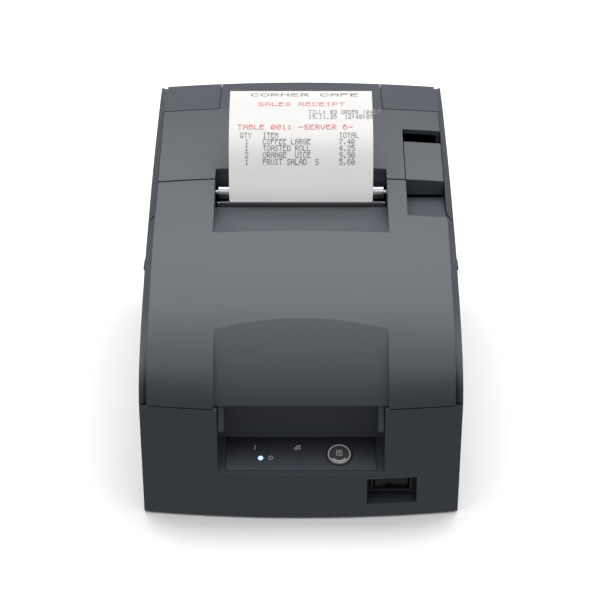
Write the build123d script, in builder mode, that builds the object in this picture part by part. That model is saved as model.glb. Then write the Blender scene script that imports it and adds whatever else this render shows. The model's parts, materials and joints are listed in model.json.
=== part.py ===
from build123d import *
import math
import os

# Receipt printer with a two-colour impact mechanism for 76 mm paper.
# Millimetres. X to the user's right, the front faces -Y, +Z up.
# The origin is on the table, under the middle of the case.

# ---- case -------------------------------------------------------------------
case_width = 160.0
case_depth = 248.0
case_wall = 2.5
side_draft = 0.7          # each side wall leans in by this much at its foot
foot_height = 1.2
foot_radius = 7.0
foot_inset = 16.0
front_bulge = 6.0         # the front stands this far out in the middle
top_crown = 3.0           # the top stands this much higher in the middle
parting_height = 63.0     # where the covers meet the lower case
crest_height = 136.0      # highest line of the top, at the sides
rear_edge_height = crest_height - 5.6  # where the top meets the rear wall
crest_y = case_depth / 2 - 49.0
cover_gap = 0.6           # gap under the front cover
seam_gap = 1.0            # gap between the front cover and the roll cover
side_gap = 0.35           # gap between a cover and the case beside it

rear_y = case_depth / 2
front_middle_y = -case_depth / 2
front_corner_y = front_middle_y + front_bulge
half_width = case_width / 2

# ---- covers -----------------------------------------------------------------
strip_inner_x = half_width - 3.7  # the top plate ends here, the side strip runs outside it
strip_crease = 1.3        # how far the strip starts below the plate, at the rear
front_crease = 2.4        # and on the front cover
seam_y = 10.0             # seam between the front cover and the roll cover
side_seam_y = -14.0       # where the front cover's sides end
shoulder_x = 45.5         # the rear shoulders of the case start here
shoulder_y = crest_y + 1.4

# ---- paper ------------------------------------------------------------------
paper_width = 76.0
paper_thickness = 0.3
paper_y = 5.6             # the paper's front face, where it leaves the printer
slot_half = paper_width / 2 + 7.5
slot_rear_y = 18.5

# ---- hinges -----------------------------------------------------------------
front_hinge_y = front_middle_y + 4.5
front_hinge_z = parting_height - 11.0
front_pin_radius = 1.5
rear_hinge_y = rear_y - 4.7
rear_hinge_z = rear_edge_height - 4.2
rear_pin_radius = 1.4
running_fit = 0.05
knuckle_radius = 3.0

# ---- control panel ----------------------------------------------------------
panel_half = 37.6
recess_half = 41.6
panel_tilt = 23.0
panel_front_y = front_middle_y + 3.0
panel_front_z = parting_height - 35.5
panel_depth = 20.0
panel_thickness = 2.0
button_x = 19.2
button_radius = 6.4
button_travel = 0.9
button_up = 9.2           # distance of the button's centre up the panel
led_x = -20.3
led_up = 7.2
led_radius = 1.3

# ---- power switch -----------------------------------------------------------
switch_x = 45.6
switch_z = 15.6
switch_width = 25.0
switch_height = 15.0
switch_depth = 7.0
rocker_width = 18.6
rocker_height = 9.2

# ---- opening lever ----------------------------------------------------------
lever_left = half_width - 24.3
lever_right = half_width - 4.2
lever_rear_y = 43.6
lever_recess_y = 55.4
lever_face = 7.4
lever_pivot_y = 27.0
lever_pivot_z = 84.0
lever_pin_radius = 2.0

# ---- mechanism --------------------------------------------------------------
plate_x = half_width - 13.0  # inner faces of the mechanism's side plates
sheet = 1.5
mech_front_y = -62.0
mech_rear_y = 17.5
mech_floor_z = 42.0
shaft_y = -17.0
shaft_z = 79.0
shaft_radius = 4.0
rail_y = -38.0
rail_z = 72.0
belt_y = -30.0
belt_z = 63.0
pulley_x = 56.0
pulley_radius = 6.0
belt_thickness = 1.0
belt_width = 5.0
feed_y = 12.5
feed_z = 72.0
feed_radius = 5.5
feed_shaft_radius = 2.5
gear_module = 0.8
feed_teeth = 36
pinion_teeth = 12
gear_width = 4.0
gear_x = -72.5
carriage_half = 15.0

# ---- paper roll -------------------------------------------------------------
roll_y = 66.0
roll_z = 71.0
roll_radius = 32.0
core_radius = 9.0
bin_radius = 42.0
bin_wall = 2.0
bin_half = 39.5

# ---- board ------------------------------------------------------------------
board_z = 12.0
board_thickness = 1.6

os.makedirs("parts", exist_ok=True)


# ---- helpers ----------------------------------------------------------------
def save(piece, label):
    """Label a finished piece and write it."""
    piece.part.label = label
    export_step(piece.part, "parts/" + label + ".step")


def block(x, y, z, mode=Mode.ADD):
    """A box given by its limits along each axis."""
    centre = ((x[0] + x[1]) / 2, (y[0] + y[1]) / 2, (z[0] + z[1]) / 2)
    with Locations(centre):
        Box(x[1] - x[0], y[1] - y[0], z[1] - z[0], mode=mode)


def pair_of_blocks(x, y, z, mode=Mode.ADD):
    """The same box on the right and, mirrored, on the left."""
    block(x, y, z, mode)
    block((-x[1], -x[0]), y, z, mode)


def rod_x(radius, x, y, z, mode=Mode.ADD):
    """A round bar along X between two X values."""
    with Locations(Location(((x[0] + x[1]) / 2, y, z), (0, 90, 0))):
        Cylinder(radius, x[1] - x[0], mode=mode)


def rod_y(radius, x, y, z, mode=Mode.ADD):
    """A round bar along Y between two Y values."""
    with Locations(Location((x, (y[0] + y[1]) / 2, z), (90, 0, 0))):
        Cylinder(radius, y[1] - y[0], mode=mode)


def rod_z(radius, x, y, z, mode=Mode.ADD):
    """A round bar along Z between two Z values."""
    with Locations((x, y, (z[0] + z[1]) / 2)):
        Cylinder(radius, z[1] - z[0], mode=mode)


def prism_x(points, x, mode=Mode.ADD):
    """A YZ polygon swept along X between two X values."""
    with BuildSketch(Plane.YZ.offset(x[0])) as profile:
        with BuildLine():
            Polyline(*points, close=True)
        make_face()
    extrude(profile.sketch, amount=x[1] - x[0], mode=mode)


def inset_path(points, distance):
    """Shift a path that runs from front to rear inwards, away from the outside."""
    shifted = []
    for i, (y, z) in enumerate(points):
        before = points[max(i - 1, 0)]
        after = points[min(i + 1, len(points) - 1)]
        dy = after[0] - before[0]
        dz = after[1] - before[1]
        length = math.hypot(dy, dz)
        shifted.append((y + distance * dz / length, z - distance * dy / length))
    return shifted


# ---- case surface -----------------------------------------------------------
# The top's side view, from the parting line at the front to the rear wall.
plate_path = [
    (front_corner_y, parting_height),
    (front_corner_y + 5.0, parting_height + 13.5),
    (front_corner_y + 20.0, parting_height + 26.5),
    (front_corner_y + 47.0, parting_height + 39.0),
    (front_corner_y + 74.0, crest_height - 25.0),
    (side_seam_y, crest_height - 17.3),
    (seam_y, crest_height - 11.9),
    (seam_y + 32.0, crest_height - 5.2),
    (crest_y, crest_height),
]
# The side strip's outer edge, along the top of the side wall.
strip_path = [
    (front_corner_y, parting_height + 0.4),
    (front_corner_y + 2.2, parting_height + 7.4),
    (front_corner_y + 17.6, parting_height + 21.2),
    (front_corner_y + 46.8, parting_height + 33.6),
    (front_corner_y + 74.4, crest_height - 29.8),
    (side_seam_y - 0.8, crest_height - 23.3),
    (seam_y + 11.2, crest_height - 16.3),
    (crest_y - 24.3, crest_height - 12.1),
    (crest_y + 17.6, crest_height - 7.8),
    (rear_y, rear_edge_height - 0.4),
]


def middle_path(points):
    """The same view on the middle line, crowned and bulged."""
    shifted = []
    for y, z in points:
        share = (z - parting_height) / (crest_height - parting_height)
        lift = top_crown * math.sin(math.pi / 2 * max(share, 0))
        shifted.append((y - front_bulge * (1 - share), z + lift))
    return shifted


def side_view(x, path, rear, foot):
    """One closed side section: front wall, top, rear slope, rear wall, floor."""
    front = path[0]
    crest = path[-1]
    with BuildSketch(Plane.YZ.offset(x)) as section:
        with BuildLine():
            Line((front[0], foot), front)
            Spline(*path)
            Line(crest, rear)
            Line(rear, (rear[0], foot))
            Line((rear[0], foot), (front[0], foot))
        make_face()
    return section.sketch


def top_body(half, wall):
    """The closed form under the top surface, set in by a wall."""
    side = inset_path(plate_path, wall)
    middle = inset_path(middle_path(plate_path), wall)
    rear_side = (rear_y - wall, rear_edge_height - wall)
    rear_middle = (rear_y - wall, rear_edge_height + top_crown - wall)
    sections = [
        side_view(-half, side, rear_side, 0),
        side_view(0, middle, rear_middle, 0),
        side_view(half, side, rear_side, 0),
    ]
    with BuildPart() as body:
        loft(sections)
    return body.part


def strip_cutter():
    """What is cut off above the two side strips, crease included."""
    pieces = []
    for start, stop, crease in (
        (front_corner_y - 10, side_seam_y, front_crease),
        (side_seam_y, rear_y + 10, strip_crease),
    ):
        with BuildPart() as cutter:
            for x, path, drop in (
                (strip_inner_x, plate_path + [(rear_y, rear_edge_height)], crease),
                (half_width, strip_path, 0),
            ):
                low = inset_path(path, drop)
                with BuildSketch(Plane.YZ.offset(x)):
                    with BuildLine():
                        Spline(*low)
                        Polyline(
                            low[-1],
                            (rear_y + 20, low[-1][1]),
                            (rear_y + 20, crest_height + 20),
                            (front_corner_y - 20, crest_height + 20),
                            (front_corner_y - 20, low[0][1]),
                            low[0],
                        )
                    make_face()
            loft(ruled=True)
            block((strip_inner_x - 1, half_width + 1), (start, stop), (0, 200), Mode.INTERSECT)
        pieces.append(cutter.part)
    return pieces


def make_casing():
    """The whole outer form, solid, with its side strips cut."""
    with BuildPart() as whole:
        add(top_body(half_width, 0))
        for cutter in strip_cutter():
            add(cutter, mode=Mode.SUBTRACT)
            add(cutter.mirror(Plane.YZ), mode=Mode.SUBTRACT)
    return whole.part


def make_cavity():
    """The room inside the walls: under the top plate, and beside it under the strips."""
    room_half = strip_inner_x - case_wall
    low = inset_path(strip_path, case_wall)
    with BuildPart() as room:
        add(top_body(half_width - case_wall, case_wall))
        block((-room_half, room_half), (-case_depth, case_depth), (-1, 2 * crest_height), Mode.INTERSECT)
        with BuildSketch(Plane.YZ.offset(-half_width + case_wall)) as under_strip:
            with BuildLine():
                Spline(*low)
                Polyline(low[-1], (low[-1][0], 0), (low[0][0], 0), low[0])
            make_face()
        extrude(under_strip.sketch, amount=2 * (half_width - case_wall))
        block((-half_width, half_width), (-case_depth, rear_y - case_wall), (-1, 2 * crest_height),
              Mode.INTERSECT)
    return room.part


def scoop_curve(depth):
    """The front cover's hollowed middle, at a depth under its face."""
    points = [
        (front_middle_y + 43.0, parting_height + 39.6),
        (front_middle_y + 28.0, parting_height + 30.2),
        (front_middle_y + 16.0, parting_height + 18.6),
        (front_middle_y + 8.0, parting_height + 7.5),
        (front_middle_y + 3.6, parting_height - 3.0),
    ]
    path = list(reversed(points))
    return inset_path(path, depth)


def scoop_body(depth, half):
    """Everything in front of the scoop's curve, between two side walls."""
    path = scoop_curve(depth)
    with BuildPart() as body:
        with BuildSketch(Plane.YZ.offset(-half)) as profile:
            with BuildLine():
                Spline(*path)
                Polyline(
                    path[-1],
                    (path[-1][0], crest_height),
                    (front_middle_y - 12, crest_height),
                    (front_middle_y - 12, path[0][1]),
                    path[0],
                )
            make_face()
        extrude(profile.sketch, amount=2 * half)
    return body.part


scoop_half = 43.2
recess_front_y = -33.0
recess_floor_front = 116.0
recess_floor_rear = 113.2
tear_edge_y = 1.0
pocket_left = 55.6
pocket_front_y = -19.0
pocket_floor = 115.2
pocket_floor_front = 116.6
skin = 2.2


def slot_recess(grow):
    """The sloped flat in front of the tear bar, as a prism that can be grown by a wall."""
    floor_drop = grow
    prism_x(
        [
            (recess_front_y - grow, recess_floor_front - floor_drop),
            (seam_y + 10, recess_floor_rear - floor_drop - 0.6),
            (seam_y + 10, crest_height + 20),
            (recess_front_y - grow, crest_height + 20),
        ],
        (-slot_half - grow, slot_half + grow),
    )


def finger_pocket(grow):
    """The pocket where a finger reaches the lever's face, open to the side strip."""
    prism_x(
        [
            (pocket_front_y - grow, pocket_floor_front - grow),
            (seam_y + 10, pocket_floor - grow),
            (seam_y + 10, crest_height + 20),
            (pocket_front_y - grow, crest_height + 20),
        ],
        (pocket_left - grow, half_width),
    )


def cover_front_zone():
    """Where the front cover is: ahead of the seam on top, ahead of the side seam beside it."""
    low = parting_height + cover_gap
    block(
        (-strip_inner_x + side_gap, strip_inner_x - side_gap),
        (front_middle_y - 1, seam_y - seam_gap / 2),
        (low, 2 * crest_height),
    )
    block(
        (-half_width, half_width),
        (front_middle_y - 1, side_seam_y - side_gap),
        (low, 2 * crest_height),
    )


def tool(maker, *values):
    """Run a shape helper by itself and return its solid."""
    with BuildPart() as made:
        maker(*values)
    return made.part


casing = make_casing()
cavity = make_cavity()
slot_cut = tool(slot_recess, 0)
slot_wall = tool(slot_recess, skin)
pocket_cut = tool(finger_pocket, 0)
pocket_wall = tool(finger_pocket, skin)
front_zone = tool(cover_front_zone)

arm_outer_x = 41.0
arm_inner_x = 38.2
tab_y = -44.0
tab_z = 103.0
tab_radius = 2.2
tab_proud = 0.8
tab_length = 8.0

with BuildPart() as front_room:
    add(cavity)
    add(scoop_body(case_wall, scoop_half + skin), mode=Mode.SUBTRACT)
    add(slot_wall, mode=Mode.SUBTRACT)
    add(pocket_wall, mode=Mode.SUBTRACT)

with BuildPart() as front_cover:
    add(casing)
    add(front_room.part, mode=Mode.SUBTRACT)
    add(front_zone, mode=Mode.INTERSECT)
    add(scoop_body(0, scoop_half), mode=Mode.SUBTRACT)
    add(slot_cut, mode=Mode.SUBTRACT)
    add(pocket_cut, mode=Mode.SUBTRACT)
    block((-slot_half, slot_half), (tear_edge_y, seam_y + 10), (100, 200), Mode.SUBTRACT)
    # arms that carry the cover on its hinge pins
    for side in (-1, 1):
        arm_x = sorted((side * arm_inner_x, side * arm_outer_x))
        prism_x(
            [
                (front_hinge_y - knuckle_radius, front_hinge_z),
                (front_hinge_y + knuckle_radius, front_hinge_z),
                (front_middle_y + 11.0, parting_height + 5.0),
                (front_middle_y + 6.6, parting_height + 4.0),
            ],
            arm_x,
        )
        rod_x(knuckle_radius, arm_x, front_hinge_y, front_hinge_z)
        rod_x(front_pin_radius + running_fit, (arm_x[0] - 1, arm_x[1] + 1),
              front_hinge_y, front_hinge_z, Mode.SUBTRACT)
        # finger tab on the side
        rod_y(tab_radius, side * (half_width + tab_proud - tab_radius),
              (tab_y - tab_length / 2, tab_y + tab_length / 2), tab_z)
save(front_cover, "front_cover")


# ---- roll cover -------------------------------------------------------------
latch_bar_y = 14.5
exit_roller_y = 12.6
exit_roller_z = 117.0
exit_roller_radius = 3.4
exit_shaft_radius = 1.5
ear_width = 3.0


def roll_cover_zone():
    """The middle of the top, with its notches for paper and lever, and a tongue to the rear."""
    inner = strip_inner_x - side_gap
    tongue = shoulder_x - side_gap
    notch = lever_left - side_gap
    front = seam_y + seam_gap / 2
    crest = shoulder_y - crest_gap
    with BuildSketch(Plane.XY.offset(cavity_top)) as plan:
        with BuildLine():
            Polyline(
                (-inner, front), (-slot_half, front), (-slot_half, slot_rear_y),
                (slot_half, slot_rear_y), (slot_half, front), (notch, front),
                (notch, lever_recess_y), (inner, lever_recess_y), (inner, crest),
                (tongue, crest), (tongue, rear_y), (-tongue, rear_y),
                (-tongue, crest), (-inner, crest), close=True,
            )
        make_face()
    extrude(plan.sketch, amount=crest_height)


cavity_top = 110.0
knuckle_half = 43.0
crest_gap = 1.3          # the cover's rear edge swings back a little as it lifts

with BuildPart() as roll_cover:
    add(casing)
    add(tool(roll_cover_zone), mode=Mode.INTERSECT)
    add(cavity, mode=Mode.SUBTRACT)
    # the rear wall stays with the case
    block((-half_width, half_width), (rear_y - case_wall - 4, rear_y + 1),
          (0, rear_hinge_z + 1.5), Mode.SUBTRACT)
    # hinge knuckle under the tongue
    rod_x(knuckle_radius, (-knuckle_half, knuckle_half), rear_hinge_y, rear_hinge_z)
    block((-knuckle_half, knuckle_half), (rear_hinge_y - knuckle_radius, rear_hinge_y + knuckle_radius - 0.4),
          (rear_hinge_z, rear_edge_height + 0.4))
    rod_x(rear_pin_radius + running_fit, (-case_width, case_width), rear_hinge_y, rear_hinge_z,
          Mode.SUBTRACT)
    # ears for the exit roller and for the latch bar
    for ear_x in (-slot_half - ear_width - 0.5, slot_half + 0.5):
        block((ear_x, ear_x + ear_width), (exit_roller_y - 2.4, exit_roller_y + 12),
              (exit_roller_z - 2.8, crest_height - 12.2))
    block((-slot_half - 0.5, slot_half + 0.5), (slot_rear_y + 0.2, slot_rear_y + 2.4),
          (exit_roller_z, crest_height - 10.6))
    rod_x(exit_shaft_radius + running_fit, (-slot_half - 6, slot_half + 6),
          exit_roller_y, exit_roller_z, Mode.SUBTRACT)
    # stiffening ribs
    for rib_x in (-62.0, -24.0, 24.0, 50.0):
        block((rib_x - 0.9, rib_x + 0.9), (slot_rear_y + 4, crest_y - 6), (cavity_top + 12, crest_height - 8.6))
save(roll_cover, "roll_cover")

# ---- rear case --------------------------------------------------------------


def rear_case_zone():
    """Side walls and strips behind the side seam, the shoulders and the rear wall."""
    pair_of_blocks((strip_inner_x, half_width), (side_seam_y, rear_y), (parting_height, 200))
    pair_of_blocks((shoulder_x, half_width), (shoulder_y, rear_y), (parting_height, 200))
    block((-half_width, half_width), (rear_y - case_wall - 0.5, rear_y),
          (parting_height, rear_hinge_z - knuckle_radius - 1.8))


with BuildPart() as rear_case:
    add(casing)
    add(cavity, mode=Mode.SUBTRACT)
    add(tool(rear_case_zone), mode=Mode.INTERSECT)
    # ears that carry the rear hinge pin
    for side in (-1, 1):
        ear = sorted((side * shoulder_x, side * (shoulder_x + 5)))
        block(ear, (rear_hinge_y - knuckle_radius, rear_y - 1), (rear_hinge_z - 6, rear_edge_height - 1))
    rod_x(rear_pin_radius, (-shoulder_x - 4, shoulder_x + 4), rear_hinge_y, rear_hinge_z, Mode.SUBTRACT)
save(rear_case, "rear_case")

with BuildPart() as rear_hinge_pin:
    rod_x(rear_pin_radius, (-shoulder_x - 4, shoulder_x + 4), rear_hinge_y, rear_hinge_z)
save(rear_hinge_pin, "rear_hinge_pin")

# ---- lower case -------------------------------------------------------------
connector_half = 58.0
connector_low = 10.0
connector_high = 32.0


def footprint(inset, height):
    """The case's outline seen from above, bulged at the front."""
    side = half_width - inset
    with BuildSketch(Plane.XY.offset(height)) as outline:
        with BuildLine():
            ThreePointArc(
                (-side, front_corner_y + inset),
                (0, front_middle_y + inset),
                (side, front_corner_y + inset),
            )
            Polyline(
                (side, front_corner_y + inset),
                (side, rear_y - inset),
                (-side, rear_y - inset),
                (-side, front_corner_y + inset),
            )
        make_face()
    return outline.sketch


def panel_plane(rise):
    """A plane along the tilted control panel, a height above its face."""
    tilt = Plane(
        origin=(0, panel_front_y, panel_front_z),
        x_dir=(1, 0, 0),
        z_dir=(0, -math.sin(math.radians(panel_tilt)), math.cos(math.radians(panel_tilt))),
    )
    return tilt.offset(rise)


panel_rear_y = panel_front_y + panel_depth * math.cos(math.radians(panel_tilt))
seat_drop = panel_thickness + 0.1


def panel_recess(grow, top):
    """The room above the control panel, open to the front."""
    cosine = math.cos(math.radians(panel_tilt))
    slope = math.tan(math.radians(panel_tilt))
    front = front_middle_y - 4
    front_floor = panel_front_z + (front - panel_front_y) * slope
    rear = panel_rear_y + 0.4 + grow
    prism_x(
        [
            (front, front_floor - grow / cosine),
            (rear, front_floor + (rear - front) * slope - grow / cosine),
            (rear, top),
            (front, top),
        ],
        (-recess_half - grow, recess_half + grow),
    )


def switch_recess(grow):
    """The room around the rocker, with a sloped ledge under it."""
    block(
        (switch_x - switch_width / 2 - grow, switch_x + switch_width / 2 + grow),
        (front_middle_y - 4, front_corner_y + switch_depth + grow),
        (switch_z - switch_height / 2 - grow, switch_z + switch_height / 2 + grow),
    )


rocker_y = front_corner_y + 4.2

with BuildPart() as lower_case:
    extrude(footprint(0, foot_height), amount=parting_height - foot_height)
    foot_half = half_width - side_draft
    with BuildSketch(Plane.XZ.offset(-case_depth)) as draft:
        with BuildLine():
            Polyline(
                (-foot_half, 0), (foot_half, 0), (half_width, parting_height),
                (-half_width, parting_height), close=True,
            )
        make_face()
    extrude(draft.sketch, amount=2 * case_depth, mode=Mode.INTERSECT)
    extrude(footprint(case_wall, foot_height + case_wall), amount=parting_height, mode=Mode.SUBTRACT)
    with BuildPart(mode=Mode.PRIVATE) as walls:
        add(tool(panel_recess, case_wall + seat_drop, parting_height))
        add(tool(switch_recess, case_wall))
        extrude(footprint(0.5, foot_height), amount=parting_height, mode=Mode.INTERSECT)
    add(walls.part)
    add(tool(panel_recess, 0, parting_height + 5), mode=Mode.SUBTRACT)
    add(tool(switch_recess, 0), mode=Mode.SUBTRACT)
    # seat of the panel plate, with slanted ends beside it
    with BuildSketch(panel_plane(0.0)) as seat:
        with Locations((0, panel_depth / 2)):
            Rectangle(2 * panel_half + 0.4, panel_depth + 0.4)
    extrude(seat.sketch, amount=-seat_drop, mode=Mode.SUBTRACT)
    with BuildSketch(panel_plane(0.0)) as window:
        with Locations((0, panel_depth / 2)):
            Rectangle(2 * panel_half - 6, panel_depth - 5)
    extrude(window.sketch, amount=-10, mode=Mode.SUBTRACT)
    # window for the switch body
    block((switch_x - rocker_width / 2 - 1.2, switch_x + rocker_width / 2 + 1.2),
          (front_corner_y, front_corner_y + 20),
          (switch_z - rocker_height / 2 - 0.2, switch_z + rocker_height / 2 + 1.8), Mode.SUBTRACT)
    # front hinge pins
    for side in (-1, 1):
        pin_x = sorted((side * (arm_inner_x + 0.3), side * (recess_half + 1)))
        rod_x(front_pin_radius, pin_x, front_hinge_y, front_hinge_z)
    # connector bay in the rear wall
    block((-connector_half, connector_half), (rear_y - case_wall - 1, rear_y + 1),
          (connector_low, connector_high), Mode.SUBTRACT)
    # screw bosses under the board
    with Locations(*[(x, y, (foot_height + board_z) / 2 + 0.6) for x in (-58, 58) for y in (-70, 84)]):
        Cylinder(3.4, board_z - foot_height - 1.2)
save(lower_case, "lower_case")

# ---- front hinge, feet and screws -------------------------------------------
with BuildPart() as rubber_feet:
    with Locations(*[(x, y, foot_height / 2) for x in (-half_width + foot_inset, half_width - foot_inset)
                     for y in (front_corner_y + foot_inset, rear_y - foot_inset)]):
        Cylinder(foot_radius, foot_height)
save(rubber_feet, "rubber_feet")

# ---- control panel ----------------------------------------------------------

with BuildPart() as control_panel:
    with BuildSketch(panel_plane(-panel_thickness)) as face:
        with Locations((0, panel_depth / 2)):
            Rectangle(2 * panel_half, panel_depth)
        with Locations((button_x, button_up)):
            Circle(button_radius + 0.35, mode=Mode.SUBTRACT)
        with Locations((led_x, led_up)):
            Circle(led_radius + 0.05, mode=Mode.SUBTRACT)
    extrude(face.sketch, amount=panel_thickness)
save(control_panel, "control_panel")

with BuildPart() as feed_button:
    with BuildSketch(panel_plane(-panel_thickness - 1.2)) as stem:
        with Locations((button_x, button_up)):
            Circle(button_radius)
    extrude(stem.sketch, amount=panel_thickness + 1.2 + 0.6)
    fillet(feed_button.edges().filter_by(GeomType.CIRCLE).sort_by(Axis.Z)[-1], 0.35)
save(feed_button, "feed_button")

with BuildPart() as power_led:
    with BuildSketch(panel_plane(-panel_thickness - 1.0)) as lens:
        with Locations((led_x, led_up)):
            Circle(led_radius)
    extrude(lens.sketch, amount=panel_thickness + 1.0)
save(power_led, "power_led")

panel_board_drop = panel_thickness + 1.2 + button_travel + 1.0
with BuildPart() as panel_board:
    with BuildSketch(panel_plane(-panel_board_drop - board_thickness)) as board_face:
        with Locations((0, panel_depth / 2)):
            Rectangle(2 * panel_half - 8, panel_depth - 7)
    extrude(board_face.sketch, amount=board_thickness)
save(panel_board, "panel_board")

with BuildPart() as feed_switch:
    with BuildSketch(panel_plane(-panel_board_drop)) as switch_face:
        with Locations((button_x, button_up)):
            Rectangle(5.0, 5.0)
    extrude(switch_face.sketch, amount=0.7)
save(feed_switch, "feed_switch")

# ---- power switch -----------------------------------------------------------
rocker_z = switch_z + 0.8
rocker_pivot_y = rocker_y + 5.0
with BuildPart() as power_switch:
    block((switch_x - rocker_width / 2 - 1.0, switch_x + rocker_width / 2 + 1.0),
          (rocker_y - 0.6, rocker_y + 14),
          (rocker_z - rocker_height / 2 - 0.9, rocker_z + rocker_height / 2 + 0.9))
    block((switch_x - rocker_width / 2, switch_x + rocker_width / 2),
          (rocker_y - 1, rocker_y + 10),
          (rocker_z - rocker_height / 2 - 0.1, rocker_z + rocker_height / 2 + 0.1), Mode.SUBTRACT)
    rod_z(1.0, switch_x, rocker_pivot_y, (rocker_z - rocker_height / 2 - 0.5, rocker_z + rocker_height / 2 + 0.5))
save(power_switch, "power_switch")

with BuildPart() as power_rocker:
    half = rocker_width / 2 - 0.9
    with BuildSketch(Plane.XY.offset(rocker_z - rocker_height / 2 + 0.15)) as plan:
        with BuildLine():
            Polyline(
                (switch_x - half, rocker_pivot_y - 4.0 - 2.0),
                (switch_x, rocker_pivot_y - 4.0),
                (switch_x + half, rocker_pivot_y - 4.0),
                (switch_x + half - 1.2, rocker_pivot_y + 0.6),
                (switch_x, rocker_pivot_y + 3.2),
                (switch_x - half + 1.2, rocker_pivot_y - 1.0),
                close=True,
            )
        make_face()
    extrude(plan.sketch, amount=rocker_height - 0.3)
    rod_z(1.0 + running_fit, switch_x, rocker_pivot_y, (0, 60), Mode.SUBTRACT)
save(power_rocker, "power_rocker")

# ---- opening lever ----------------------------------------------------------
lever_arm = (60.0, 66.0)
with BuildPart() as open_lever:
    add(casing)
    block((lever_left, lever_right), (seam_y + 0.4, lever_rear_y), (0, 200), Mode.INTERSECT)
    # hollow under the top plate, behind the front face
    prism_x(
        [
            (seam_y + 2.4, 0),
            (lever_recess_y, 0),
            (lever_recess_y, crest_height - 4.4),
            (lever_rear_y, crest_height - 6.4),
            (seam_y + 2.4, crest_height - 13.4),
        ],
        (lever_left - 1, lever_right + 1),
        Mode.SUBTRACT,
    )
    block((lever_left - 1, lever_right + 1), (0, lever_recess_y), (0, crest_height - 11.9 - lever_face),
          Mode.SUBTRACT)
    prism_x(
        [
            (lever_pivot_y - 4.5, lever_pivot_z),
            (lever_pivot_y + 4.5, lever_pivot_z),
            (lever_pivot_y + 7.0, crest_height - 7.6),
            (lever_pivot_y - 7.0, crest_height - 10.6),
        ],
        lever_arm,
    )
    rod_x(4.5, lever_arm, lever_pivot_y, lever_pivot_z)
    # latch nose
    prism_x(
        [
            (lever_pivot_y - 5.5, 106.0),
            (lever_pivot_y - 5.5, 111.0),
            (latch_bar_y + 3.6, 110.0),
            (latch_bar_y + 2.6, 107.4),
        ],
        lever_arm,
    )
    rod_x(lever_pin_radius + running_fit, (lever_arm[0] - 1, lever_arm[1] + 1),
          lever_pivot_y, lever_pivot_z, Mode.SUBTRACT)
save(open_lever, "open_lever")

with BuildPart() as lever_pin:
    rod_x(lever_pin_radius, (plate_x - 10.5, plate_x), lever_pivot_y, lever_pivot_z)
save(lever_pin, "lever_pin")

with BuildPart() as lever_housing:
    low = 92.0
    block((54.0, strip_inner_x - 0.1), (seam_y + 2.2, lever_recess_y + 2.4), (low, 117.0))
    block((55.2, half_width), (seam_y + 1.0, lever_recess_y), (low - 1, 140.0), Mode.SUBTRACT)
    block((53.9, 54.9), (slot_rear_y + 2.8, lever_recess_y + 2.4), (low, 117.0))
    with BuildSketch(Plane.XY.offset(low)) as web:
        with Locations((65.2, (lever_recess_y + lever_pivot_y + 9) / 2 + 4)):
            Rectangle(20.4, lever_recess_y - lever_pivot_y - 12)
    extrude(web.sketch, amount=1.6)
save(lever_housing, "lever_housing")

# ---- mechanism frame --------------------------------------------------------
mech_top_front = 88.0
mesh_clearance = 0.15
centre_distance = gear_module * (feed_teeth + pinion_teeth) / 2 + mesh_clearance
mesh_angle = 239.0        # from the feed roller to the motor, seen from the right
motor_y = feed_y + centre_distance * math.cos(math.radians(mesh_angle))
motor_z = feed_z + centre_distance * math.sin(math.radians(mesh_angle))
mech_top_rear = 109.0


def frame_side(inner_x):
    """One sheet-metal side plate of the mechanism, with its shaft holes."""
    prism_x(
        [
            (mech_front_y, mech_floor_z),
            (mech_rear_y, mech_floor_z),
            (mech_rear_y, mech_top_rear),
            (shaft_y + 2, mech_top_rear),
            (mech_front_y, mech_top_front),
        ],
        (inner_x, inner_x + sheet),
    )
    through = (inner_x - 1, inner_x + sheet + 1)
    rod_x(shaft_radius, through, shaft_y, shaft_z, Mode.SUBTRACT)
    rod_x(feed_shaft_radius + running_fit, through, feed_y, feed_z, Mode.SUBTRACT)
    rod_x(2.0, through, motor_y, motor_z, Mode.SUBTRACT)


with BuildPart() as left_side_plate:
    frame_side(-plate_x - sheet)
save(left_side_plate, "left_side_plate")

with BuildPart() as right_side_plate:
    frame_side(plate_x)
save(right_side_plate, "right_side_plate")

with BuildPart() as mechanism_base:
    block((-plate_x, plate_x), (mech_front_y, mech_rear_y), (mech_floor_z, mech_floor_z + sheet))
    pair_of_blocks((plate_x - sheet, plate_x), (mech_front_y, mech_rear_y),
                   (mech_floor_z, mech_floor_z + 8))
    rod_z(2.2, -pulley_x, belt_y, (0, 100), Mode.SUBTRACT)
save(mechanism_base, "mechanism_base")

with BuildPart() as mechanism_posts:
    with Locations(*[(x, y, (foot_height + case_wall + mech_floor_z) / 2)
                     for x in (-70.0, 70.0) for y in (-55.0, 10.0)]):
        Box(7.0, 7.0, mech_floor_z - foot_height - case_wall)
    with Locations(*[(x, y, mech_floor_z - 1.0) for x in (-66.0, 66.0) for y in (-55.0, 10.0)]):
        Box(9.0, 7.0, 2.0)
save(mechanism_posts, "mechanism_posts")

with BuildPart() as carriage_shaft:
    rod_x(shaft_radius, (-plate_x - sheet - 1.5, plate_x + sheet + 1.5), shaft_y, shaft_z)
save(carriage_shaft, "carriage_shaft")

with BuildPart() as guide_rail:
    block((-plate_x, plate_x), (rail_y - 3, rail_y + 3), (rail_z - 2, rail_z))
    block((-plate_x, plate_x), (rail_y - 3, rail_y - 2), (rail_z - 8, rail_z - 2))
save(guide_rail, "guide_rail")

# ---- platen, paper guide and tear bar ---------------------------------------
platen_z = 96.0
platen_height = 10.0
paper_rear_y = paper_y + paper_thickness
with BuildPart() as platen:
    block((-plate_x, plate_x), (paper_rear_y + 0.5, paper_rear_y + 3.0),
          (platen_z - platen_height / 2, platen_z + platen_height / 2))
save(platen, "platen")

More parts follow.
